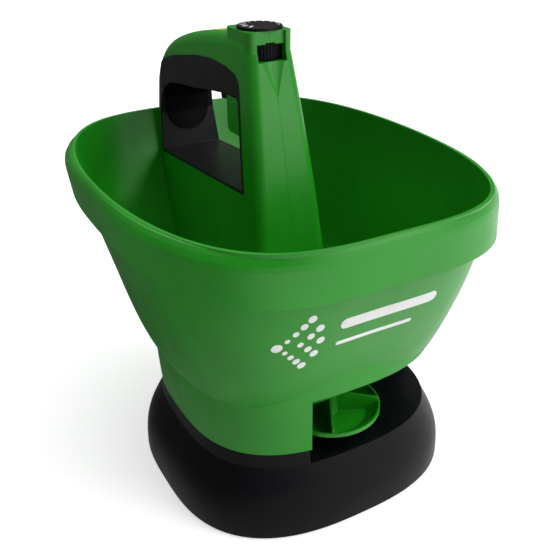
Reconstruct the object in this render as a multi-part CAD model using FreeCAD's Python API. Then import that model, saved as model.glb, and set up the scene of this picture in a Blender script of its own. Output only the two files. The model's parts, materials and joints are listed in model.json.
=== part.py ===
"""Hand-held battery garden spreader, built as separate named sub-parts.

Millimetres, +Z up, front (throwing side) towards -Y, the handle side to side along X.
The origin is the centre of the base on the floor.
"""
import FreeCAD, Part
import math
import os

V = FreeCAD.Vector

# ---------------------------------------------------------------- driving dimensions
WALL = 2.5                 # hopper wall
GAP = 0.3                  # plain clearance between neighbouring parts

# roundness of the plan outline shared by the skirt, collar, deck and foot
BASE_X_POWER = 2.6
BASE_Y_POWER = 2.9

# heights
SHELL_BOTTOM_Z = 1.0
DECK_Z = 53.7
DECK_THICK = 2.8
SKIRT_BOTTOM_Z = 65.0
FLOOR_Z = 98.0             # inside floor of the hopper

# hopper bowl, inside surface: height, half width, front, rear, x power, y power
BOWL_SECTIONS = (
    (98.0, 94.0, -78.0, 98.0, 3.4, 2.8),
    (106.0, 99.5, -83.0, 116.0, 4.0, 2.9),
    (124.0, 103.5, -89.5, 139.0, 4.6, 3.0),
    (145.0, 108.0, -97.0, 154.0, 4.8, 2.9),
    (171.0, 114.5, -105.5, 169.0, 4.7, 2.7),
    (205.0, 123.5, -114.5, 183.5, 4.2, 2.35),
    (238.0, 130.0, -122.0, 193.4, 3.7, 2.15),
)
# outside of the rim: upright band, then a lip that leans in to the top edge
RIM_SECTIONS = (
    (205.0, 132.5, -128.0, 197.0, 3.5, 2.9),
    (228.0, 136.2, -127.2, 198.6, 3.1, 2.85),
    (231.5, 136.3, -126.6, 198.8, 3.1, 2.75),
    (235.0, 135.2, -125.6, 198.0, 3.1, 2.6),
    (237.2, 133.6, -124.4, 196.4, 3.2, 2.45),
    (238.0, 131.8, -123.4, 195.0, 3.4, 2.3),
)
RIM_WALL = 2.4
RIM_CAP_Z = 232.0          # underside of the solid top of the rolled rim

# skirt under the bowl, and the flared base: height, half width, half depth
SKIRT_LEVELS = ((65.0, 98.4, 92.6), (98.0, 101.0, 91.6), (126.0, 102.0, 90.6))
BASE_LEVELS = ((1.0, 114.2, 106.0), (14.0, 113.8, 105.6), (30.0, 110.2, 102.8), (43.0, 104.0, 98.0),
               (53.7, 98.9, 93.6))
SHELL_WALL = 2.6

# throwing opening in the skirt
OPEN_LEFT_X = -36.0
OPEN_REAR_Y = -25.0
OPEN_TOP_Z = 106.0

# impeller and drive
IMP_Y = -55.7
IMP_R = 38.6
IMP_BOTTOM_Z = 60.5
IMP_LIP_Z = 71.0
IMP_VANES = 4
IMP_VANE_ANGLE = -28.0     # plan direction of the first vane at rest
HUB_R = 6.0
HUB_TOP_Z = 83.0
SHAFT_R = 1.5
SHAFT_TOP_Z = 104.0
MOTOR_R = 12.2
MOTOR_BOTTOM_Z = 12.0
MOTOR_TOP_Z = 47.5

# outlet and shutter
PORT_HALF_W = 13.0
PORT_FRONT_Y = -44.0
PORT_REAR_Y = -33.0
SHUTTER_Z = 91.0
SHUTTER_THICK = 2.0

# handle tower: side taper and side outline
TOWER_TOP_HALF_W = 18.0
TOWER_TAPER = 0.08
TOWER_TOP_Z = 322.0
TOWER_WALL = 2.6
TOWER_EDGE_ROUND = 9.0

# dial: ribbed wheel inside the tower, neck, and cap on top
DIAL_Y = 46.0
DIAL_R = 14.4
DIAL_BOTTOM_Z = 306.5
DIAL_RIM_TOP_Z = 318.0
DIAL_NECK_R = 12.0
DIAL_CAP_R = 16.3
DIAL_CAP_Z = 326.7
DIAL_TOP_Z = 328.7
DIAL_RIBS = 36
DIAL_STEM_Z = 300.6        # lower end of the stem
BEZEL_TOP_Z = 326.4
SLOT_HALF_W = 11.3

# trigger linkage (all in the plane x = 0)
TRIGGER_PIVOT = (46.0, 272.0)
TRIGGER_NOSE = (24.0, 271.5)
TRIGGER_HALF_W = 7.0
CRANK_PIVOT = (2.0, 112.0)
CRANK_IN = 6.0
CRANK_OUT = 22.0
CRANK_HALF_ANGLE = 16.7
ROD_R = 1.8
ROD_DIR = (-0.179, -0.984)  # y and z of the rod's downward direction

# batteries
CELL_R = 7.25
CELL_LEN = 50.5
CELL_PITCH = 15.2
CELL_COUNT = 4
BAY_FRONT_Y = 14.0
BAY_REAR_Y = 84.0
BAY_HALF_W = 33.0
DOOR_Z = 2.2
DOOR_THICK = 2.4
HINGE_Y = 87.0
HINGE_Z = 4.4

FOOT_X = 74.0
FOOT_Y = 62.0
TOWER_SCREWS = ((16.0, 190.0), (158.0, 190.0), (110.0, 130.0))
SCREW_XY = ((-70.0, 52.0), (70.0, 52.0), (-80.0, -8.0), (80.0, -8.0))


# ---------------------------------------------------------------- small helpers
def box(x0, x1, y0, y1, z0, z1):
    return Part.makeBox(x1 - x0, y1 - y0, z1 - z0, V(x0, y0, z0))


def cyl(radius, x, y, z0, z1):
    return Part.makeCylinder(radius, z1 - z0, V(x, y, z0))


def cyl_x(radius, x0, x1, y, z):
    return Part.makeCylinder(radius, x1 - x0, V(x0, y, z), V(1, 0, 0))


def fuse(shapes):
    shapes = list(shapes)
    return shapes[0].multiFuse(shapes[1:]).removeSplitter()


def outline(half_w, front, rear, x_power, y_power, z, count=36):
    """Closed smooth outline |x/a|^m + |y/b|^n = 1 between front and rear at height z."""
    half_d = (rear - front) / 2
    mid = (rear + front) / 2
    points = []
    for i in range(count):
        t = 2 * math.pi * i / count
        c = math.cos(t)
        s = math.sin(t)
        x = half_w * math.copysign(abs(c) ** (2 / x_power), c)
        y = mid + half_d * math.copysign(abs(s) ** (2 / y_power), s)
        points.append(V(x, y, z))
    curve = Part.BSplineCurve()
    curve.interpolate(Points=points, PeriodicFlag=True)
    return Part.Wire([curve.toShape()])


def base_loft(levels, inset=0.0):
    """Solid through the base outline at (height, half width, half depth) levels, less an inset."""
    wires = []
    for z, half_w, half_d in levels:
        depth = half_d - inset
        wires.append(outline(half_w - inset, -depth, depth, BASE_X_POWER, BASE_Y_POWER, z))
    return Part.makeLoft(wires, True, False)


def moved_ends(levels, bottom_z, top_z):
    """The same levels with the lowest and highest heights replaced."""
    first = (bottom_z,) + levels[0][1:]
    last = (top_z,) + levels[-1][1:]
    return (first,) + tuple(levels[1:-1]) + (last,)


def prism_x(points, half_w):
    """Side outline given as (y, z) points, extruded both ways along X."""
    corners = [V(-half_w, y, z) for y, z in points]
    face = Part.Face(Part.makePolygon(corners + corners[:1]))
    return face.extrude(V(2 * half_w, 0, 0))


def tower_half_width(z):
    return TOWER_TOP_HALF_W + TOWER_TAPER * (TOWER_TOP_Z - z)


def tower_wedge(inset=0.0):
    """Tapered block whose two sides are the sides of the tower, less an inset."""
    low, high = 60.0, 340.0
    a = tower_half_width(low) - inset
    b = tower_half_width(high) - inset
    corners = [V(-a, -60, low), V(a, -60, low), V(b, -60, high), V(-b, -60, high)]
    face = Part.Face(Part.makePolygon(corners + corners[:1]))
    return face.extrude(V(0, 320, 0))


def spline(points):
    curve = Part.BSplineCurve()
    curve.interpolate([V(0, y, z) for y, z in points])
    return curve.toShape()


def line(a, b):
    return Part.makeLine(V(0, *a), V(0, *b))


def half(shape, side):
    """The part of a shape on one side of the middle plane; side is -1 or +1."""
    cutter = box(0, 80, -80, 260, 60, 345) if side > 0 else box(-80, 0, -80, 260, 60, 345)
    return shape.common(cutter)


# ---------------------------------------------------------------- hopper
def bowl(offset, bottom_z):
    wires = []
    for z, half_w, front, rear, x_power, y_power in BOWL_SECTIONS:
        height = bottom_z if z == FLOOR_Z else z
        wires.append(outline(half_w + offset, front - offset, rear + offset, x_power, y_power, height))
    return Part.makeLoft(wires, True, False)


def rim_solid():
    """Solid inside the outer face of the rim."""
    wires = [outline(half_w, front, rear, x_power, y_power, z)
             for z, half_w, front, rear, x_power, y_power in RIM_SECTIONS]
    return Part.makeLoft(wires, True, True)


def rim_hollow():
    """Open space under the rolled rim, behind its outer wall."""
    wires = []
    for section, height in ((RIM_SECTIONS[0], RIM_SECTIONS[0][0] - 1), (RIM_SECTIONS[1], RIM_CAP_Z)):
        _, half_w, front, rear, x_power, y_power = section
        wires.append(outline(half_w - RIM_WALL, front + RIM_WALL, rear - RIM_WALL, x_power, y_power, height))
    return Part.makeLoft(wires, True, True)


def make_hopper():
    band = rim_solid().cut(rim_hollow())
    skirt = base_loft(SKIRT_LEVELS)
    skirt = skirt.cut(base_loft(moved_ends(SKIRT_LEVELS, SKIRT_BOTTOM_Z - 1, SKIRT_LEVELS[-1][0] + 1), WALL))
    skirt = skirt.cut(box(OPEN_LEFT_X, 140, -140, OPEN_REAR_Y, SKIRT_BOTTOM_Z - 1, OPEN_TOP_Z))
    body = bowl(WALL, FLOOR_Z - WALL).fuse(skirt).fuse(band)
    body = body.cut(bowl(0.0, FLOOR_Z))
    body = body.multiFuse([cyl(5.0, x, y, DECK_Z, FLOOR_Z - 1) for x, y in SCREW_XY])
    cuts = [cyl(1.6, x, y, DECK_Z - 1, DECK_Z + 16) for x, y in SCREW_XY]
    cuts.append(box(-PORT_HALF_W, PORT_HALF_W, PORT_FRONT_Y, PORT_REAR_Y, FLOOR_Z - 4, FLOOR_Z + 1))
    cuts.append(cyl(SHAFT_R + 1.0, 0, IMP_Y, FLOOR_Z - 4, FLOOR_Z + 1))
    cuts.append(box(-4, 4, -11, 15, FLOOR_Z - 4, FLOOR_Z + 1))
    return body.cut(Part.makeCompound(cuts))


def make_outlet_plate():
    """Guide under the hopper floor: port frame and two rails that carry the shutter."""
    top = FLOOR_Z - WALL
    slide_top = SHUTTER_Z + SHUTTER_THICK + GAP
    plate = box(-22, 22, PORT_FRONT_Y - 6, -13, slide_top, top)
    plate = plate.cut(box(-PORT_HALF_W, PORT_HALF_W, PORT_FRONT_Y, PORT_REAR_Y, 80, 110))
    rails = []
    for side in (-1, 1):
        rails.append(box(min(side * 17, side * 22), max(side * 17, side * 22),
                         PORT_FRONT_Y - 6, -13, SHUTTER_Z - 2, slide_top))
        rails.append(box(min(side * 14.5, side * 17), max(side * 14.5, side * 17),
                         PORT_FRONT_Y - 6, -13, SHUTTER_Z - 2, SHUTTER_Z - GAP))
    return fuse([plate] + rails)


def make_shutter():
    plate = box(-16.6, 16.6, PORT_FRONT_Y - 2, 1.5, SHUTTER_Z, SHUTTER_Z + SHUTTER_THICK)
    lift = CRANK_OUT * math.sin(math.radians(CRANK_HALF_ANGLE))
    pin_y = CRANK_PIVOT[0] - lift
    return plate.cut(box(-3.5, 3.5, pin_y - 2.4, pin_y + 2.4, SHUTTER_Z - 1, SHUTTER_Z + 4))


# ---------------------------------------------------------------- base
def make_base_shell():
    shell = base_loft(BASE_LEVELS)
    shell = shell.cut(base_loft(moved_ends(BASE_LEVELS, SHELL_BOTTOM_Z - 1, DECK_Z - DECK_THICK), SHELL_WALL))
    collar_levels = (BASE_LEVELS[-1], SKIRT_LEVELS[0])
    collar = base_loft(moved_ends(collar_levels, DECK_Z - 0.5, SKIRT_BOTTOM_Z))
    collar = collar.cut(base_loft(moved_ends(collar_levels, DECK_Z - 2, SKIRT_BOTTOM_Z + 1), SHELL_WALL))
    collar = collar.cut(box(OPEN_LEFT_X - 1.5, 140, -140, OPEN_REAR_Y, DECK_Z, SKIRT_BOTTOM_Z + 2))
    posts = [cyl(5.0, x, y, 5.0, DECK_Z - 1) for x, y in SCREW_XY]
    shell = fuse([shell, collar] + posts)
    cuts = [cyl(2.0, x, y, 4.0, DECK_Z + 1) for x, y in SCREW_XY]
    cuts += [cyl(3.4, x, y, 4.0, 36.0) for x, y in SCREW_XY]
    cuts.append(cyl(4.0, 0, IMP_Y, DECK_Z - 6, DECK_Z + 3))
    cuts.append(cyl(4.0, 0, 30.0, DECK_Z - 6, DECK_Z + 3))
    return shell.cut(Part.makeCompound(cuts))


def make_base_cover():
    top = DOOR_Z + DOOR_THICK
    outline_size = BASE_LEVELS[0][1:]
    plate = base_loft(((2.0,) + outline_size, (top,) + outline_size), SHELL_WALL + 0.6)
    window = box(-BAY_HALF_W, BAY_HALF_W, BAY_FRONT_Y, HINGE_Y + 3.2, 0, 10)
    posts = [cyl(4.6, x, y, 2.0, 5.0) for x, y in SCREW_XY]
    cuts = [cyl(3.4, x, y, 0, 6) for x, y in SCREW_XY]
    cuts.append(make_door_pin())
    return fuse([plate.cut(window)] + posts).cut(Part.makeCompound(cuts))


def make_feet():
    places = [(x, y) for x in (-FOOT_X, FOOT_X) for y in (-FOOT_Y, FOOT_Y)]
    places.append((0.0, 0.0))
    return Part.makeCompound([Part.makeCone(7.6, 8.6, 2.0, V(x, y, 0)) for x, y in places])


def make_base_screws():
    screws = []
    for x, y in SCREW_XY:
        head = cyl(3.0, x, y, 33.6, 36.0).cut(box(x - 2, x + 2, y - 0.4, y + 0.4, 33, 34.8))
        screws.append(head.fuse(cyl(1.6, x, y, 36.0, DECK_Z + 15)))
    return Part.makeCompound(screws)


# ---------------------------------------------------------------- drive
def make_motor_can():
    can = cyl(MOTOR_R, 0, IMP_Y, MOTOR_BOTTOM_Z + 3, MOTOR_TOP_Z)
    can = can.cut(cyl(MOTOR_R - 1.0, 0, IMP_Y, MOTOR_BOTTOM_Z + 2, MOTOR_TOP_Z - 1.2))
    can = can.fuse(cyl(4.0, 0, IMP_Y, MOTOR_TOP_Z, MOTOR_TOP_Z + 2.0))
    flats = box(-MOTOR_R - 1, -MOTOR_R + 0.5, IMP_Y - 20, IMP_Y + 20, 0, 60)
    can = can.cut(flats).cut(flats.translated(V(2 * MOTOR_R + 0.5, 0, 0)))
    return can.cut(cyl(2.6, 0, IMP_Y, MOTOR_TOP_Z - 3, MOTOR_TOP_Z + 4))


def make_motor_bushes():
    upper = cyl(2.6, 0, IMP_Y, MOTOR_TOP_Z - 1.2, MOTOR_TOP_Z + 2.0)
    lower = cyl(3.0, 0, IMP_Y, MOTOR_BOTTOM_Z + 1.0, MOTOR_BOTTOM_Z + 4.0)
    bore = cyl(SHAFT_R + 0.03, 0, IMP_Y, 0, 70)
    return Part.makeCompound([upper.cut(bore), lower.cut(bore)])


def make_motor_endcap():
    cap = cyl(MOTOR_R - 1.05, 0, IMP_Y, MOTOR_BOTTOM_Z + 3, MOTOR_BOTTOM_Z + 5)
    cap = cap.fuse(cyl(MOTOR_R, 0, IMP_Y, MOTOR_BOTTOM_Z, MOTOR_BOTTOM_Z + 3))
    tabs = [box(x - 1.2, x + 1.2, IMP_Y - 0.3, IMP_Y + 0.3, MOTOR_BOTTOM_Z - 4, MOTOR_BOTTOM_Z + 1)
            for x in (-8.0, 8.0)]
    cap = cap.fuse(tabs[0]).fuse(tabs[1])
    cap = cap.cut(cyl(3.0, 0, IMP_Y, MOTOR_BOTTOM_Z + 1.0, MOTOR_BOTTOM_Z + 4.0))
    return cap.cut(cyl(SHAFT_R + 0.6, 0, IMP_Y, MOTOR_BOTTOM_Z + 0.5, MOTOR_TOP_Z))


def make_motor_mount():
    """Cup that hangs the motor under the deck."""
    outer = cyl(MOTOR_R + 2.4, 0, IMP_Y, 20.0, DECK_Z - DECK_THICK)
    cup = outer.cut(cyl(MOTOR_R, 0, IMP_Y, 19.0, MOTOR_TOP_Z))
    wings = box(-26, 26, IMP_Y - 6, IMP_Y + 6, DECK_Z - DECK_THICK - 4, DECK_Z - DECK_THICK)
    cup = cup.fuse(wings.cut(cyl(MOTOR_R + 1, 0, IMP_Y, 0, 60)))
    return cup.cut(cyl(4.0, 0, IMP_Y, MOTOR_TOP_Z - 1, 60))


def make_shaft():
    shaft = cyl(SHAFT_R, 0, IMP_Y, MOTOR_BOTTOM_Z + 1.5, SHAFT_TOP_Z)
    return shaft.makeChamfer(0.4, [e for e in shaft.Edges if e.BoundBox.ZMin > SHAFT_TOP_Z - 0.1])


def make_rotor():
    slots = 3
    core = cyl(MOTOR_R - 3.2, 0, IMP_Y, 20.0, 42.0)
    for i in range(slots):
        a = 2 * math.pi * i / slots
        slot = box(5.0, 12.0, -1.0, 1.0, 15.0, 45.0)
        slot.rotate(V(0, 0, 0), V(0, 0, 1), math.degrees(a))
        core = core.cut(slot.translated(V(0, IMP_Y, 0)))
    return core.cut(cyl(SHAFT_R, 0, IMP_Y, 10, 60))


def turned(points, y):
    """Solid of revolution about the upright axis at (0, y) from (radius, height) points."""
    corners = [V(r, 0, z) for r, z in points]
    face = Part.Face(Part.makePolygon(corners + corners[:1]))
    return face.revolve(V(0, 0, 0), V(0, 0, 1), 360).translated(V(0, y, 0))


def make_impeller():
    """Dished spinner with a thin lip and four tall vanes."""
    low, lip = IMP_BOTTOM_Z, IMP_LIP_Z
    dish = turned(((0, low), (29.0, low + 1.0), (IMP_R, lip - 3.0), (IMP_R, lip), (IMP_R - 1.5, lip),
                   (IMP_R - 2.2, lip - 1.8), (28.2, low + 3.2), (0, low + 2.4)), IMP_Y)
    hub = Part.makeCone(HUB_R + 1.5, HUB_R - 1.0, HUB_TOP_Z - low, V(0, IMP_Y, low))
    side = ((2, low + 1), (28, low + 2), (IMP_R - 1.0, lip - 2.0), (IMP_R - 1.0, lip + 3.0), (20, lip + 6.5),
            (2, HUB_TOP_Z - 0.5))
    corners = [V(r, -0.9, z) for r, z in side]
    vane = Part.Face(Part.makePolygon(corners + corners[:1])).extrude(V(0, 1.8, 0))
    parts = [dish, hub]
    for i in range(IMP_VANES):
        blade = vane.copy()
        blade.rotate(V(0, 0, 0), V(0, 0, 1), IMP_VANE_ANGLE + 360 / IMP_VANES * i)
        parts.append(blade.translated(V(0, IMP_Y, 0)))
    return fuse(parts).cut(cyl(SHAFT_R, 0, IMP_Y, 50, 100))


def make_agitator():
    """Two-armed stirrer on the shaft, just above the hopper floor."""
    z = FLOOR_Z + 1.2
    arms = box(-14, 14, IMP_Y - 1.2, IMP_Y + 1.2, z, z + 2.4)
    hub = cyl(4.0, 0, IMP_Y, z, z + 4.6)
    return hub.fuse(arms).cut(cyl(SHAFT_R, 0, IMP_Y, 90, 110))


# ---------------------------------------------------------------- batteries
def cell_y(i):
    return BAY_FRONT_Y + 11.0 + CELL_PITCH * i


CELL_Z = 14.0


def make_battery_tray():
    """Box over the cells, open below."""
    outer = box(-BAY_HALF_W, BAY_HALF_W, BAY_FRONT_Y, BAY_REAR_Y - 2, DOOR_Z + DOOR_THICK + 1.2, 25.0)
    inner = box(-BAY_HALF_W + 2, BAY_HALF_W - 2, BAY_FRONT_Y + 2, BAY_REAR_Y - 4, 0, 23.0)
    ribs = [box(-28, 28, cell_y(i) + CELL_PITCH / 2 - 0.2, cell_y(i) + CELL_PITCH / 2 + 0.2, 17.0, 23.5)
            for i in range(CELL_COUNT - 1)]
    posts = [box(-6, 6, BAY_FRONT_Y + y, BAY_FRONT_Y + y + 6, 24.0, DECK_Z - DECK_THICK) for y in (8, 52)]
    return fuse([outer.cut(inner)] + ribs + posts)


def make_cells():
    cells = []
    for i in range(CELL_COUNT):
        y = cell_y(i)
        end = 1 if i % 2 else -1
        body = cyl_x(CELL_R, -CELL_LEN / 2 + 1, CELL_LEN / 2 - 1, y, CELL_Z)
        nub = cyl_x(2.7, CELL_LEN / 2 - 1, CELL_LEN / 2, y, CELL_Z)
        flat = cyl_x(5.5, -CELL_LEN / 2, -CELL_LEN / 2 + 1, y, CELL_Z)
        cell = body.fuse(nub).fuse(flat)
        if end < 0:
            cell.rotate(V(0, y, CELL_Z), V(0, 0, 1), 180)
        cells.append(cell)
    return Part.makeCompound(cells)


def make_contacts():
    """Contact plates at both ends of the bay, each joining two cells."""
    plates = []
    inner = BAY_HALF_W - 2
    for i in range(CELL_COUNT):
        y = cell_y(i)
        for side in (-1, 1):
            a = side * (CELL_LEN / 2)
            b = side * inner
            pad = box(min(b, b - side * 0.6), max(b, b - side * 0.6), y - 6.5, y + 6.5, CELL_Z - 5, CELL_Z + 6)
            stem = cyl_x(2.2, min(a, b), max(a, b), y, CELL_Z)
            plates.append(pad.fuse(stem))
    return Part.makeCompound(plates)


def make_battery_door():
    plate = box(-BAY_HALF_W + 0.5, BAY_HALF_W - 0.5, BAY_FRONT_Y + 0.5, HINGE_Y, DOOR_Z, DOOR_Z + DOOR_THICK)
    barrel = cyl_x(2.2, -BAY_HALF_W + 0.5, BAY_HALF_W - 0.5, HINGE_Y, HINGE_Z)
    door = plate.fuse(barrel)
    for i in range(4):
        x = -12 + 8 * i
        door = door.cut(box(x - 1, x + 1, BAY_FRONT_Y + 4, BAY_FRONT_Y + 14, DOOR_Z - 1, DOOR_Z + 0.7))
    return door.cut(cyl_x(1.25, -60, 60, HINGE_Y, HINGE_Z))


def make_door_pin():
    return cyl_x(1.2, -BAY_HALF_W - 4, BAY_HALF_W + 4, HINGE_Y, HINGE_Z)


def make_door_lugs():
    """Two lugs on the cover that hold the ends of the hinge pin."""
    lugs = []
    for side in (-1, 1):
        a = side * (BAY_HALF_W + 0.4)
        b = side * (BAY_HALF_W + 4.4)
        lug = box(min(a, b), max(a, b), HINGE_Y - 4, HINGE_Y + 4, DOOR_Z + DOOR_THICK, 9.0)
        lugs.append(lug.cut(cyl_x(1.2, -60, 60, HINGE_Y, HINGE_Z)))
    return Part.makeCompound(lugs)


# ---------------------------------------------------------------- handle tower
# side outline of the tower: up the front, over the top of the grip and down behind it
TOWER_LINE = ((-13.0, FLOOR_Z), (-1.0, 177.0), (4.5, 212.0), (20.5, 282.0), (26.6, 305.0), (30.0, 314.5),
              (36.0, 320.6), (45.0, 322.7), (64.0, 321.7), (101.0, 317.5), (126.0, 313.0), (152.0, 306.0),
              (176.0, 295.0), (190.0, 280.0), (196.0, 260.0))
RIM_STEP_Z = 239.0
TOWER_REAR = ((187.5, RIM_STEP_Z), (181.5, 203.0), (166.5, 171.0), (143.0, 134.0), (98.0, 101.0))
WINDOW_EDGE = ((23.5, 214.0), (30.0, 243.0), (38.0, 286.0), (41.0, 292.5), (46.5, 296.5), (61.0, 299.3),
               (85.0, 300.6), (114.0, 298.0), (158.0, 290.0), (178.0, 284.0), (184.0, 279.5), (186.0, 272.0),
               (186.0, 240.0), (180.0, 203.0))
CLEAR_EDGE = ((27.5, 216.5), (34.0, 247.0), (40.8, 278.0), (44.0, 281.5), (60.0, 280.0), (98.0, 275.5),
              (116.0, 272.5), (142.0, 270.0), (164.0, 266.5), (176.0, 261.0), (182.0, 250.0), (183.0, 236.0),
              (180.4, 220.0), (178.0, 205.5))
LEG_HOLLOW = ((-10.0, FLOOR_Z - 1), (1.8, 177.0), (7.3, 212.0), (23.3, 282.0), (33.0, 304.0), (150.0, 304.0),
              (158.0, 294.0), (114.0, 301.5), (85.0, 303.5), (61.0, 302.0), (46.0, 299.5), (38.0, 296.0),
              (35.2, 287.0), (27.2, 243.0), (20.9, 211.4), (177.0, 200.4), (163.0, 171.5), (140.0, 136.0),
              (98.0, 104.0), (92.0, FLOOR_Z - 1))
ARCH_HOLLOW = ((35.0, 303.0), (150.0, 303.0), (124.0, 307.5), (101.0, 311.5), (66.0, 315.0), (35.0, 315.0))


def tower_block():
    """Outside of the tower as one solid, before it is hollowed and split."""
    rear_low = TOWER_REAR[-1]
    foot_rear = (rear_low[0] - 4, FLOOR_Z)
    edges = [
        spline(TOWER_LINE),
        line(TOWER_LINE[-1], (196.0, RIM_STEP_Z)),
        line((196.0, RIM_STEP_Z), TOWER_REAR[0]),
        spline(TOWER_REAR),
        line(rear_low, foot_rear),
        line(foot_rear, TOWER_LINE[0]),
    ]
    face = Part.Face(Part.Wire(edges))
    slab = face.extrude(V(100, 0, 0)).translated(V(-50, 0, 0))
    return slab.common(tower_wedge())


def is_side_edge(edge, ends):
    """True for an edge on a tapered side whose two ends are the given (y, z) points."""
    found = sorted((round(v.Point.y, 1), round(v.Point.z, 1)) for v in edge.Vertexes)
    return found == sorted(ends)


def rounded_tower():
    block = tower_block()
    long_edges = [e for e in block.Edges if is_side_edge(e, [TOWER_LINE[0], TOWER_LINE[-1]])
                  or is_side_edge(e, [TOWER_LINE[-1], (196.0, RIM_STEP_Z)])]
    return block.makeFillet(TOWER_EDGE_ROUND, long_edges)


def bezel():
    """Raised housing round the dial neck on top of the tower."""
    block = box(-17.4, 17.4, 29.4, 66.0, 308.0, BEZEL_TOP_Z)
    upright = [e for e in block.Edges if e.BoundBox.ZLength > 10]
    return block.makeFillet(5.0, upright)


def dial_pocket():
    return fuse([
        cyl(DIAL_R + 0.6, 0, DIAL_Y, DIAL_BOTTOM_Z - 0.5, DIAL_RIM_TOP_Z + 0.5),
        cyl(DIAL_NECK_R + 0.5, 0, DIAL_Y, DIAL_RIM_TOP_Z, 335.0),
        box(-SLOT_HALF_W, SLOT_HALF_W, 0, DIAL_Y, DIAL_BOTTOM_Z - 0.2, DIAL_RIM_TOP_Z - 0.4),
    ])


def front_panel_cut():
    """Shallow recess in the front face, from the slot up to the dial cap, between two side ridges."""
    side = ((10.0, 306.5), (28.6, 306.5), (31.4, 318.0), (32.0, 330.0), (10.0, 330.0))
    return prism_x(side, SLOT_HALF_W)


def thumb_scoop():
    """Hollow below the slot that narrows downwards, for the thumb that turns the dial."""
    wires = []
    for z, front_y, half_w, depth in ((307.0, 26.9, 11.3, 2.4), (284.0, 21.0, 1.5, 0.4)):
        arc = Part.Arc(V(-half_w, front_y - 1, z), V(0, front_y + depth, z), V(half_w, front_y - 1, z)).toShape()
        back = Part.makeLine(V(half_w, front_y - 1, z), V(-half_w, front_y - 1, z))
        wires.append(Part.Wire([arc, back]))
    return Part.makeLoft(wires, True, True)


def make_tower(side):
    block = half(rounded_tower(), side).fuse(half(bezel(), side)).removeSplitter()
    inner = tower_wedge(TOWER_WALL)
    hollow = fuse([prism_x(LEG_HOLLOW, 50).common(inner), prism_x(ARCH_HOLLOW, 50).common(inner)])
    body = block.cut(prism_x(WINDOW_EDGE, 50))
    body = body.cut(hollow)
    dial_floor = cyl(DIAL_R + 2.5, 0, DIAL_Y, DIAL_BOTTOM_Z - 3, DIAL_BOTTOM_Z - 0.5)
    body = body.fuse(dial_floor.common(block))
    cuts = [
        dial_pocket(),
        front_panel_cut(),
        thumb_scoop(),
        cyl(2.0, 0, DIAL_Y, 290, 320),
        cyl(4.0, 0, DIAL_Y, DIAL_STEM_Z - 1, DIAL_BOTTOM_Z - 3),
        box(-9, 9, 26, 62, 262, 284),
        box(-8.5, 8.5, 88, 140, 311.0, 330),
    ]
    for cut in cuts:
        body = body.cut(cut)
    if side > 0:
        for y, z in TOWER_SCREWS:
            x = tower_half_width(z)
            body = body.cut(Part.makeCylinder(2.9, 6.0, V(x - 2.0, y, z), V(1, 0, 0)))
    return body


def make_liner(side):
    """Black lining of one half of the hand opening."""
    ring = prism_x(WINDOW_EDGE, 50).common(tower_wedge())
    ring = ring.cut(prism_x(CLEAR_EDGE, 50))
    ring = ring.cut(box(-20.8, 20.8, 30, 60.5, 252.5, 281.5))
    ring = ring.cut(box(-9, 9, 26, 101.5, 262.0, 296.0))
    return half(ring, side)


def make_trigger_block():
    """Housing in the front upper corner of the opening that carries the trigger pin."""
    block = box(-20.5, 20.5, 30.0, 60, 253, 279.7)
    rear_low = [e for e in block.Edges if e.BoundBox.YMin > 59.9 and e.BoundBox.ZMax < 253.1]
    block = block.makeFillet(5.0, rear_low)
    block = block.common(tower_wedge(1.0)).common(prism_x(WINDOW_EDGE, 50))
    block = block.cut(box(-TRIGGER_HALF_W - 0.6, TRIGGER_HALF_W + 0.6, 20, 70, 262.0, 290))
    return block.cut(cyl_x(1.5, -16, 16, *TRIGGER_PIVOT))


def make_trigger():
    side = [(47.0, 267.6), (66.0, 270.5), (97.0, 266.8), (98.8, 276.0), (90.0, 279.3), (50.0, 279.6),
            (40.0, 275.0), (24.0, 274.0), (24.0, 269.0), (38.0, 269.4)]
    body = prism_x(side, TRIGGER_HALF_W)
    body = body.fuse(cyl_x(2.5, -TRIGGER_HALF_W, TRIGGER_HALF_W, *TRIGGER_NOSE))
    body = body.fuse(cyl_x(4.5, -TRIGGER_HALF_W, TRIGGER_HALF_W, *TRIGGER_PIVOT))
    return body.cut(cyl_x(1.55, -20, 20, *TRIGGER_PIVOT))


def make_trigger_pin():
    return cyl_x(1.5, -16, 16, *TRIGGER_PIVOT)


def make_trigger_spring():
    coil = Part.makeHelix(3.0, 15.0, 3.0)
    profile = Part.Wire([Part.makeCircle(0.5, V(3.0, 0, 0), V(0, 1, 0))])
    spring = Part.Wire(coil).makePipeShell([profile], True, True)
    return spring.translated(V(0, 84.0, 280.3))


def rod_point(z):
    """Point on the push rod's centre line at height z."""
    run = ROD_DIR[0] / ROD_DIR[1]
    return V(0, TRIGGER_NOSE[0] + run * (z - ROD_TOP_Z), z)


ROD_TOP_Z = TRIGGER_NOSE[1] - 2.5 - 0.3
ROD_END_Z = CRANK_PIVOT[1] + CRANK_IN * math.sin(math.radians(CRANK_HALF_ANGLE)) + 1.5 + 0.3


def make_push_rod():
    low = rod_point(ROD_END_Z + ROD_R)
    high = rod_point(ROD_TOP_Z - ROD_R)
    rod = Part.makeCylinder(ROD_R, (high - low).Length, low, high - low)
    return rod.fuse(Part.makeSphere(ROD_R, low)).fuse(Part.makeSphere(ROD_R, high)).removeSplitter()


def arm(length, angle, half_w, thick):
    """Crank arm from the pivot, at an angle from +Y towards +Z, with a round end."""
    bar = box(-half_w, half_w, 0, length, -thick / 2, thick / 2)
    tip = cyl_x(1.5, -half_w, half_w, length, 0)
    piece = bar.fuse(tip)
    piece.rotate(V(0, 0, 0), V(1, 0, 0), angle)
    return piece.translated(V(0, *CRANK_PIVOT))


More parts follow.
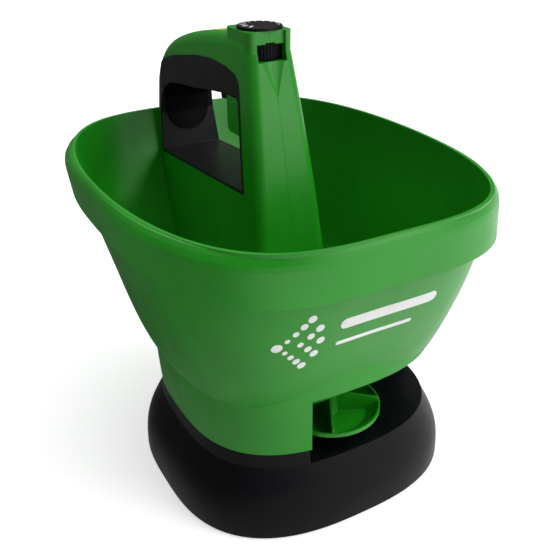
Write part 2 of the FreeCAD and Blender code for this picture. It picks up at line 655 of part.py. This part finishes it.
def make_crank():
    hub = cyl_x(3.6, -4, 4, *CRANK_PIVOT)
    short = arm(CRANK_IN, 180 - CRANK_HALF_ANGLE, 3.0, 2.4)
    long_arm = arm(CRANK_OUT, -90 - CRANK_HALF_ANGLE, 2.5, 2.4)
    return fuse([hub, short, long_arm]).cut(cyl_x(1.55, -10, 10, *CRANK_PIVOT))


def make_crank_pin():
    return cyl_x(1.5, -14, 14, *CRANK_PIVOT)


def make_crank_bracket():
    """Two ears standing on the hopper floor that hold the crank pin."""
    y, z = CRANK_PIVOT
    ears = []
    for side in (-1, 1):
        a = side * 5.0
        b = side * 8.0
        ear = box(min(a, b), max(a, b), y - 5, y + 5, FLOOR_Z, z + 4)
        foot = box(min(side * 8, side * 16), max(side * 8, side * 16), y - 5, y + 5, FLOOR_Z, FLOOR_Z + 3)
        ears.append(ear.fuse(foot).removeSplitter().cut(cyl_x(1.5, -20, 20, y, z)))
    return Part.makeCompound(ears)


def make_switch():
    body = box(-3.2, 3.2, 62, 76, 288.5, 295.5)
    button = box(-1.5, 1.5, 71, 74, 287.0, 288.5)
    legs = [box(-1, 1, y - 0.4, y + 0.4, 295.5, 296.0) for y in (64, 69, 74)]
    return fuse([body, button] + legs)


def make_grip_pad():
    """Soft pad with a round lower end on the rear wall of the hand opening."""
    half_w = 19.0
    round_z = 239.0
    plan = box(-half_w, half_w, 160, 200, round_z, 262).fuse(
        Part.makeCylinder(half_w, 40, V(0, 160, round_z), V(0, 1, 0)))
    skin = prism_x(CLEAR_EDGE, 50)
    inner = prism_x([(y - 2.4, z) for y, z in CLEAR_EDGE], 50)
    pad = skin.cut(inner).common(plan).common(box(-50, 50, 168, 200, 200, 260))
    return pad.removeSplitter()


def make_pointer():
    """Coloured insert let into the top of the grip, with the same outside shape."""
    return box(-8, 8, 88.5, 139.5, 311.0, 325).common(rounded_tower())


def make_tower_screws():
    screws = []
    for y, z in TOWER_SCREWS:
        x = tower_half_width(z)
        head = Part.makeCylinder(2.6, 1.4, V(x - 2.0, y, z), V(1, 0, 0))
        slot = box(x - 1.0, x, y - 2.0, y + 2.0, z - 0.35, z + 0.35)
        screws.append(head.cut(slot))
    return Part.makeCompound(screws)


# ---------------------------------------------------------------- dial
def make_dial():
    wheel = cyl(DIAL_R, 0, DIAL_Y, DIAL_BOTTOM_Z, DIAL_RIM_TOP_Z)
    grooves = []
    for i in range(DIAL_RIBS):
        a = 2 * math.pi * i / DIAL_RIBS
        grooves.append(cyl(0.75, DIAL_R * math.cos(a), DIAL_Y + DIAL_R * math.sin(a),
                           DIAL_BOTTOM_Z - 1, DIAL_RIM_TOP_Z + 1))
    wheel = wheel.cut(Part.makeCompound(grooves))
    neck = cyl(DIAL_NECK_R, 0, DIAL_Y, DIAL_RIM_TOP_Z, DIAL_CAP_Z)
    cap = cyl(DIAL_CAP_R, 0, DIAL_Y, DIAL_CAP_Z, DIAL_TOP_Z)
    top = [e for e in cap.Edges if e.BoundBox.ZMin > DIAL_TOP_Z - 0.1]
    cap = cap.makeFillet(1.2, top)
    stem = cyl(1.9, 0, DIAL_Y, DIAL_STEM_Z, DIAL_BOTTOM_Z)
    return fuse([wheel, neck, cap, stem])


def make_dial_marks():
    """Raised setting marks round the dial cap, longer towards the widest setting."""
    marks = []
    count = 10
    for i in range(count):
        bar = box(13.6 - 0.35 * (i + 3), 14.2, -0.5, 0.5, DIAL_TOP_Z, DIAL_TOP_Z + 0.3)
        bar.rotate(V(0, 0, 0), V(0, 0, 1), 270 / count * (i + 0.5) - 45)
        marks.append(bar.translated(V(0, DIAL_Y, 0)))
    return Part.makeCompound(marks)


def make_dial_clip():
    ring = cyl(3.6, 0, DIAL_Y, DIAL_STEM_Z + 0.6, DIAL_STEM_Z + 1.4)
    return ring.cut(cyl(1.9, 0, DIAL_Y, 280, 320))


def main():
    os.makedirs("parts", exist_ok=True)
    parts = {
        "hopper": make_hopper(),
        "outlet_plate": make_outlet_plate(),
        "shutter": make_shutter(),
        "base_shell": make_base_shell(),
        "base_cover": make_base_cover(),
        "rubber_feet": make_feet(),
        "base_screws": make_base_screws(),
        "motor_can": make_motor_can(),
        "motor_bushes": make_motor_bushes(),
        "motor_endcap": make_motor_endcap(),
        "motor_mount": make_motor_mount(),
        "impeller_shaft": make_shaft(),
        "rotor": make_rotor(),
        "impeller": make_impeller(),
        "agitator": make_agitator(),
        "battery_tray": make_battery_tray(),
        "battery_cells": make_cells(),
        "battery_contacts": make_contacts(),
        "battery_door": make_battery_door(),
        "door_pin": make_door_pin(),
        "door_lugs": make_door_lugs(),
        "tower_left": make_tower(-1),
        "tower_right": make_tower(1),
        "liner_left": make_liner(-1),
        "liner_right": make_liner(1),
        "trigger_block": make_trigger_block(),
        "trigger": make_trigger(),
        "trigger_pin": make_trigger_pin(),
        "trigger_spring": make_trigger_spring(),
        "push_rod": make_push_rod(),
        "crank": make_crank(),
        "crank_pin": make_crank_pin(),
        "crank_bracket": make_crank_bracket(),
        "trigger_switch": make_switch(),
        "grip_pad": make_grip_pad(),
        "pointer_insert": make_pointer(),
        "tower_screws": make_tower_screws(),
        "dial": make_dial(),
        "dial_marks": make_dial_marks(),
        "dial_clip": make_dial_clip(),
    }
    for name, shape in parts.items():
        print(name, shape.ShapeType, "solids", len(shape.Solids), "valid", shape.isValid(),
              "volume", round(shape.Volume))
        shape.exportStep("parts/" + name + ".step")


main()
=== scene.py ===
"""Looks of the hand-held garden spreader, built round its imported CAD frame.

Metres, +Z up, the throwing side towards -Y, in the same frame as the CAD.
"""
import json
import math

import bmesh
import bpy
from mathutils import Matrix, Vector
from mathutils.bvhtree import BVHTree


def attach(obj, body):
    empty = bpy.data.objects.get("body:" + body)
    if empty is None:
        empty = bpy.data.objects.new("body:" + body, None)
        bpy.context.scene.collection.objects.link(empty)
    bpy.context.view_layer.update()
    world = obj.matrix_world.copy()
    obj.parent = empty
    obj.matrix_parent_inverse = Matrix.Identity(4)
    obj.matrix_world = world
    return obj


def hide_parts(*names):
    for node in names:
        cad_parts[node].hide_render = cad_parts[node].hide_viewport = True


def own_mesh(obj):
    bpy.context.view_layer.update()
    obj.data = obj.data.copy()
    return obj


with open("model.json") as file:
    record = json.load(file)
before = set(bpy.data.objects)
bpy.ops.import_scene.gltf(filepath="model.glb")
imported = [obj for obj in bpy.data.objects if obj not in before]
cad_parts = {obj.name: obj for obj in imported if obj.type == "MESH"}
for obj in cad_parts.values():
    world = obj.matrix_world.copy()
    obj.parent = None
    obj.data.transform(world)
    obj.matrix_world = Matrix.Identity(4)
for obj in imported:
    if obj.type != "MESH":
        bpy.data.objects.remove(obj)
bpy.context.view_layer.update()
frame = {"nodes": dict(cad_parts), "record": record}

# ---------------------------------------------------------------- colours (linear)
GREEN = (0.0085, 0.250, 0.0045)
BLACK = (0.0026, 0.0027, 0.0040)
SOFT_BLACK = (0.0100, 0.0100, 0.0110)
RUBBER = (0.0020, 0.0020, 0.0022)
ACETAL = (0.62, 0.62, 0.57)
LIME = (0.42, 0.55, 0.035)
PRINT = (0.86, 0.87, 0.85)
STEEL = (0.55, 0.56, 0.58)
DARK_STEEL = (0.20, 0.20, 0.21)
NICKEL = (0.66, 0.62, 0.54)
BRASS = (0.62, 0.43, 0.16)
JACKET = (0.020, 0.045, 0.120)

# ---------------------------------------------------------------- camera
CAMERA_PLACE = (-0.258, -0.431, 0.420)
CAMERA_AZIMUTH = -29.9
CAMERA_ELEVATION = 28.4
CAMERA_LENS = 48.2

# ---------------------------------------------------------------- studio
PAPER_HALF = 9.0
PAPER_SHADES = ((0.72, 0.72, 0.72), (0.76, 0.76, 0.76))
PAPER_PAINTED_DARK_IN_REFLECTIONS = (0.10, 0.10, 0.10)      # painted dark reflection: the paper as glossy rays see it
BACKDROP_GLOW = 0.50       # added to the paper where the camera sees it
MIRRORED_GLOW = 1.5        # painted glow of the paper seen in reflections, at its brightest; it puts a painted sheen on the object
MIRRORED_SPAN = (-0.30, 0.45)            # from dark to bright, as x minus y across the paper
ROOM_GLOW = 0.16           # even light from all round
WALL_GLOW = 1.0            # the room beyond the paper, as the camera sees it

# ---------------------------------------------------------------- generic print on the front
PRINT_LIFT = 0.00012       # how far the print stands off the wall
PRINT_THICK = 0.0002
FAN_X = -0.070             # point that the fan of dots spreads from
FAN_Z = 0.168
FAN_HALF_ANGLE = 48.0
FAN_RINGS = 4
FAN_STEP = 0.0068          # from one ring of dots to the next
FAN_TIP_RADIUS = 0.0034
STRIPES = ((-0.030, 0.046, 0.1765, 0.0085), (-0.030, 0.030, 0.1600, 0.0032))   # x from, x to, z, height


# ---------------------------------------------------------------- material building
class Graph:
    """One material's node tree, with short calls for the nodes used here."""

    def __init__(self, name):
        self.material = bpy.data.materials.new(name)
        self.material.use_nodes = True
        self.tree = self.material.node_tree
        self.shader = self.tree.nodes["Principled BSDF"]
        self.place = self.add("ShaderNodeTexCoord").outputs["Object"]

    def add(self, kind, **settings):
        node = self.tree.nodes.new(kind)
        for key, value in settings.items():
            setattr(node, key, value)
        return node

    def link(self, source, target):
        self.tree.links.new(source, target)

    def noise(self, scale, detail=3.0, stretch=(1, 1, 1)):
        """Noise in object metres; scale 100 gives patches about 10 mm wide."""
        spread = self.add("ShaderNodeMapping")
        spread.inputs["Scale"].default_value = stretch
        self.link(self.place, spread.inputs["Vector"])
        node = self.add("ShaderNodeTexNoise")
        node.inputs["Scale"].default_value = scale
        node.inputs["Detail"].default_value = detail
        self.link(spread.outputs["Vector"], node.inputs["Vector"])
        return node.outputs["Fac"]

    def span(self, source, low, high, out_low, out_high):
        """Rescales a value from low..high to out_low..out_high."""
        node = self.add("ShaderNodeMapRange")
        self.link(source, node.inputs["Value"])
        for name, value in zip(("From Min", "From Max", "To Min", "To Max"), (low, high, out_low, out_high)):
            node.inputs[name].default_value = value
        return node.outputs["Result"]

    def mix(self, factor, first, second):
        """Colour between two colours; each is an (r, g, b) or another node's output."""
        node = self.add("ShaderNodeMix", data_type="RGBA")
        self.link(factor, node.inputs["Factor"])
        for socket, colour in ((node.inputs[6], first), (node.inputs[7], second)):
            if isinstance(colour, tuple):
                socket.default_value = (*colour, 1.0)
            else:
                self.link(colour, socket)
        return node.outputs[2]

    def maths(self, operation, first, second):
        node = self.add("ShaderNodeMath", operation=operation)
        self.link(first, node.inputs[0])
        self.link(second, node.inputs[1])
        return node.outputs[0]

    def add_up(self, first, second):
        return self.maths("ADD", first, second)

    def times(self, first, second):
        return self.maths("MULTIPLY", first, second)

    def edges(self, radius):
        """(mask that is 1 along sharp edges, normal rounded over them)."""
        bevel = self.add("ShaderNodeBevel", samples=4)
        bevel.inputs["Radius"].default_value = radius
        flat = self.add("ShaderNodeNewGeometry")
        lean = self.add("ShaderNodeVectorMath", operation="DOT_PRODUCT")
        self.link(bevel.outputs["Normal"], lean.inputs[0])
        self.link(flat.outputs["Normal"], lean.inputs[1])
        return self.span(lean.outputs["Value"], 0.99, 0.80, 0.0, 1.0), bevel.outputs["Normal"]

    def bump(self, height, distance, strength, under=None):
        node = self.add("ShaderNodeBump")
        node.inputs["Distance"].default_value = distance
        node.inputs["Strength"].default_value = strength
        self.link(height, node.inputs["Height"])
        if under is not None:
            self.link(under, node.inputs["Normal"])
        return node.outputs["Normal"]


def tint(colour, amount):
    """The colour made lighter or darker by a factor."""
    return tuple(min(1.0, c * amount) for c in colour)


def moulded(name, colour, roughness, grain=1400, depth=0.00002, wear=1.5, edge=0.0007, ior=1.25, coat=0.0):
    """Moulded plastic: slow colour drift, fine grain, faint scuffs, edges rubbed lighter."""
    g = Graph(name)
    drift = g.span(g.noise(14, 4), 0.35, 0.65, 0.0, 1.0)
    fine = g.noise(grain, 2)
    scuffs = g.span(g.noise(60, 6, (1, 1, 0.25)), 0.55, 0.75, 0.0, 1.0)
    mask, rounded = g.edges(edge)
    base = g.mix(drift, tint(colour, 0.90), tint(colour, 1.10))
    base = g.mix(g.span(fine, 0.3, 0.7, 0.0, 0.25), base, tint(colour, 1.25))
    base = g.mix(g.span(mask, 0.0, 1.0, 0.0, 0.45), base, tint(colour, wear))
    g.link(base, g.shader.inputs["Base Color"])
    rough = g.add_up(g.span(g.noise(45, 5), 0.3, 0.7, roughness - 0.04, roughness + 0.05),
                     g.span(scuffs, 0.0, 1.0, 0.0, 0.06))
    g.link(rough, g.shader.inputs["Roughness"])
    g.link(g.bump(fine, depth, 0.5, rounded), g.shader.inputs["Normal"])
    g.shader.inputs["IOR"].default_value = ior
    g.shader.inputs["Coat Weight"].default_value = coat
    g.shader.inputs["Coat Roughness"].default_value = 0.15
    return g.material


def metal(name, colour, roughness, brushed=(1, 1, 1)):
    """Plated or turned metal with fine lines and slight tarnish."""
    g = Graph(name)
    lines = g.noise(900, 3, brushed)
    tarnish = g.span(g.noise(120, 5), 0.45, 0.7, 0.0, 0.6)
    mask, rounded = g.edges(0.0003)
    base = g.mix(tarnish, colour, tint(colour, 0.6))
    base = g.mix(mask, base, tint(colour, 1.25))
    g.link(base, g.shader.inputs["Base Color"])
    g.link(g.span(lines, 0.3, 0.7, roughness - 0.08, roughness + 0.10), g.shader.inputs["Roughness"])
    g.link(g.bump(lines, 0.00001, 0.4, rounded), g.shader.inputs["Normal"])
    g.shader.inputs["Metallic"].default_value = 1.0
    return g.material


def make_materials():
    """One material for each material slot in the record."""
    return {
        "green_plastic": moulded("green_plastic", GREEN, 0.38, ior=1.48),
        "black_plastic": moulded("black_plastic", BLACK, 0.40, grain=1100, depth=0.00004, wear=3.0, ior=1.22),
        "soft_black": moulded("soft_black", SOFT_BLACK, 0.38, grain=1600, wear=2.6, ior=1.28),
        "rubber_black": moulded("rubber_black", RUBBER, 0.66, grain=900, depth=0.00006, wear=2.2, ior=1.20),
        "white_plastic": moulded("white_plastic", ACETAL, 0.38, wear=1.1),
        "lime_plastic": moulded("lime_plastic", LIME, 0.33, wear=1.3),
        "white_print": moulded("white_print", PRINT, 0.45, grain=2500, depth=0.00001, wear=1.0, edge=0.0001),
        "steel": metal("steel", STEEL, 0.30, (1, 1, 12)),
        "dark_steel": metal("dark_steel", DARK_STEEL, 0.42, (1, 1, 20)),
        "nickel": metal("nickel", NICKEL, 0.27),
        "brass": metal("brass", BRASS, 0.34),
        "cell_jacket": moulded("cell_jacket", JACKET, 0.25, wear=1.5, coat=0.6),
    }


def dress_nodes():
    """Gives every CAD node the finish that its record slot asks for."""
    for part in frame["record"]["subparts"]:
        node = frame["nodes"][part["node"]]
        node.data.materials.clear()
        node.data.materials.append(materials[part["material_slot"]])


# ---------------------------------------------------------------- studio
def make_floor():
    """Pale paper; in reflections it has a painted glow, bright to the front right, and is painted dark behind
    on the left.
    """
    mesh = bpy.data.meshes.new("studio_floor")
    form = bmesh.new()
    bmesh.ops.create_grid(form, x_segments=8, y_segments=8, size=PAPER_HALF)
    form.to_mesh(mesh)
    form.free()
    floor = bpy.data.objects.new("studio_floor", mesh)
    bpy.context.collection.objects.link(floor)
    g = Graph("studio_paper")
    path = g.add("ShaderNodeLightPath")
    mirrored = path.outputs["Is Glossy Ray"]
    pale = g.mix(g.noise(3, 2), *PAPER_SHADES)
    # painted dark reflection: glossy rays see the paper much darker than it is
    g.link(g.mix(mirrored, pale, PAPER_PAINTED_DARK_IN_REFLECTIONS), g.shader.inputs["Base Color"])
    g.shader.inputs["Roughness"].default_value = 0.9
    g.shader.inputs["Specular IOR Level"].default_value = 0.1
    g.shader.inputs["Emission Color"].default_value = (1.0, 1.0, 1.0, 1.0)
    across = g.add("ShaderNodeVectorMath", operation="DOT_PRODUCT")
    across.inputs[1].default_value = (1.0, -1.0, 0.0)
    g.link(g.place, across.inputs[0])
    # painted reflection: for glossy rays only, the paper glows, brighter towards the front right
    sheen = g.times(mirrored, g.span(across.outputs["Value"], *MIRRORED_SPAN, 0.0, MIRRORED_GLOW))
    backdrop = g.span(path.outputs["Is Camera Ray"], 0.0, 1.0, 0.0, BACKDROP_GLOW)
    g.link(g.add_up(backdrop, sheen), g.shader.inputs["Emission Strength"])
    mesh.materials.append(g.material)


def aim(lamp, place, target):
    """Puts a lamp at place, shining at target."""
    lamp.location = place
    lamp.rotation_euler = (Vector(target) - Vector(place)).to_track_quat("-Z", "Y").to_euler()
    bpy.context.collection.objects.link(lamp)


def soft_sun(name, place, strength, spread):
    """Very wide distant light that comes from the direction of place."""
    data = bpy.data.lights.new(name, "SUN")
    data.energy = strength
    data.angle = math.radians(spread)
    aim(bpy.data.objects.new(name, data), place, (0.0, 0.0, 0.0))


def soft_box(name, place, target, size, power):
    """Rectangular lamp at place, aimed at target."""
    data = bpy.data.lights.new(name, "AREA")
    data.shape = "RECTANGLE"
    data.size, data.size_y = size
    data.energy = power
    aim(bpy.data.objects.new(name, data), place, target)


def make_room():
    """Even light from all round, and a pale room where the camera sees past the paper."""
    world = bpy.data.worlds.new("studio")
    world.use_nodes = True
    tree = world.node_tree
    background = tree.nodes["Background"]
    background.inputs["Color"].default_value = (1.0, 1.0, 1.0, 1.0)
    strength = tree.nodes.new("ShaderNodeMapRange")
    strength.inputs["To Min"].default_value = ROOM_GLOW
    strength.inputs["To Max"].default_value = WALL_GLOW
    path = tree.nodes.new("ShaderNodeLightPath")
    tree.links.new(path.outputs["Is Camera Ray"], strength.inputs["Value"])
    tree.links.new(strength.outputs["Result"], background.inputs["Strength"])
    bpy.context.scene.world = world


def make_lights():
    soft_sun("key", (1.0, -0.75, 1.25), 1.7, 35)
    soft_sun("overhead", (0.1, 0.5, 1.6), 1.9, 60)
    soft_box("front_box", (0.9, -1.7, 0.9), (0.0, 0.0, 0.15), (1.4, 1.4), 14.0)


def make_camera():
    """Camera placed by azimuth and elevation, looking down at the object."""
    a = math.radians(CAMERA_AZIMUTH)
    e = math.radians(CAMERA_ELEVATION)
    back = Vector((math.sin(a) * math.cos(e), -math.cos(a) * math.cos(e), math.sin(e)))
    right = Vector((math.cos(a), math.sin(a), 0.0))
    up = back.cross(right)
    data = bpy.data.cameras.new("camera")
    data.lens = CAMERA_LENS
    data.clip_start = 0.01
    camera = bpy.data.objects.new("camera", data)
    turn = Matrix((right, up, back)).transposed().to_4x4()
    camera.matrix_world = Matrix.Translation(CAMERA_PLACE) @ turn
    bpy.context.collection.objects.link(camera)
    bpy.context.scene.camera = camera


# ---------------------------------------------------------------- printed pattern on the front
def wall_finder(node):
    """Function that gives the point on the front of a node's wall at a given x and z."""
    tree = BVHTree.FromObject(node, bpy.context.evaluated_depsgraph_get())

    def find(x, z):
        point, normal, _, _ = tree.ray_cast(Vector((x, -0.3, z)), Vector((0.0, 1.0, 0.0)))
        if normal.y > 0:
            normal = -normal
        return point + normal * PRINT_LIFT
    return find


def printed_shape(form, find, rows):
    """Adds a patch lying on the wall, from rows of (x, z) points with equal counts."""
    lines = [[form.verts.new(find(x, z)) for x, z in row] for row in rows]
    for low, high in zip(lines, lines[1:]):
        for i in range(len(low) - 1):
            form.faces.new((low[i], low[i + 1], high[i + 1], high[i]))


def printed_dot(form, find, x, z, radius, sides=20):
    """Round dot lying on the wall."""
    centre = form.verts.new(find(x, z))
    turn = [2 * math.pi * i / sides for i in range(sides)]
    ring = [form.verts.new(find(x + radius * math.cos(a), z + radius * math.sin(a))) for a in turn]
    for i in range(sides):
        form.faces.new((centre, ring[i], ring[(i + 1) % sides]))


def printed_bar(form, find, x0, x1, z, height, steps=40):
    """Stripe with round ends, from x0 to x1 at height z."""
    xs = [x0 + (x1 - x0) * (1 - math.cos(math.pi * i / steps)) / 2 for i in range(steps + 1)]
    rows = []
    for side in (-1, -0.5, 0, 0.5, 1):
        row = []
        for x in xs:
            inset = max(0.0, height / 2 - min(x - x0, x1 - x))
            half = math.sqrt(max(0.0, (height / 2) ** 2 - inset ** 2))
            row.append((x, z + side * half))
        rows.append(row)
    printed_shape(form, find, rows)


def make_front_print():
    """Generic pattern: a fan of dots like scattered grain, and two plain stripes."""
    find = wall_finder(frame["nodes"]["hopper"])
    form = bmesh.new()
    for ring in range(1, FAN_RINGS + 1):
        for i in range(ring + 1):
            a = math.radians(FAN_HALF_ANGLE * (2 * i / ring - 1))
            x = FAN_X + FAN_STEP * ring * math.cos(a)
            z = FAN_Z + FAN_STEP * ring * math.sin(a)
            printed_dot(form, find, x, z, 0.0013 + 0.0004 * ring)
    printed_dot(form, find, FAN_X - 0.001, FAN_Z, FAN_TIP_RADIUS)
    for stripe in STRIPES:
        printed_bar(form, find, *stripe)
    bmesh.ops.recalc_face_normals(form, faces=form.faces)
    mesh = bpy.data.meshes.new("front_print")
    form.to_mesh(mesh)
    form.free()
    piece = bpy.data.objects.new("front_print", mesh)
    bpy.context.collection.objects.link(piece)
    piece.modifiers.new("thickness", "SOLIDIFY").thickness = PRINT_THICK
    mesh.materials.append(materials["white_print"])
    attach(piece, "frame_body")


# ---------------------------------------------------------------- trigger spring
def make_return_spring():
    """Spring over the trigger: a steel copy of the CAD coil, set on the frame body in its place."""
    coil = frame["nodes"]["trigger_spring"]
    spring = bpy.data.objects.new("return_spring", coil.data.copy())
    spring.matrix_world = coil.matrix_world.copy()
    bpy.context.collection.objects.link(spring)
    spring.data.materials.clear()
    spring.data.materials.append(materials["steel"])
    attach(spring, "frame_body")
    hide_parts("trigger_spring")
    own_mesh(spring)


# ---------------------------------------------------------------- the scene
bpy.context.scene.view_settings.view_transform = "Standard"
materials = make_materials()
dress_nodes()
make_front_print()
make_return_spring()
make_floor()
make_room()
make_lights()
make_camera()
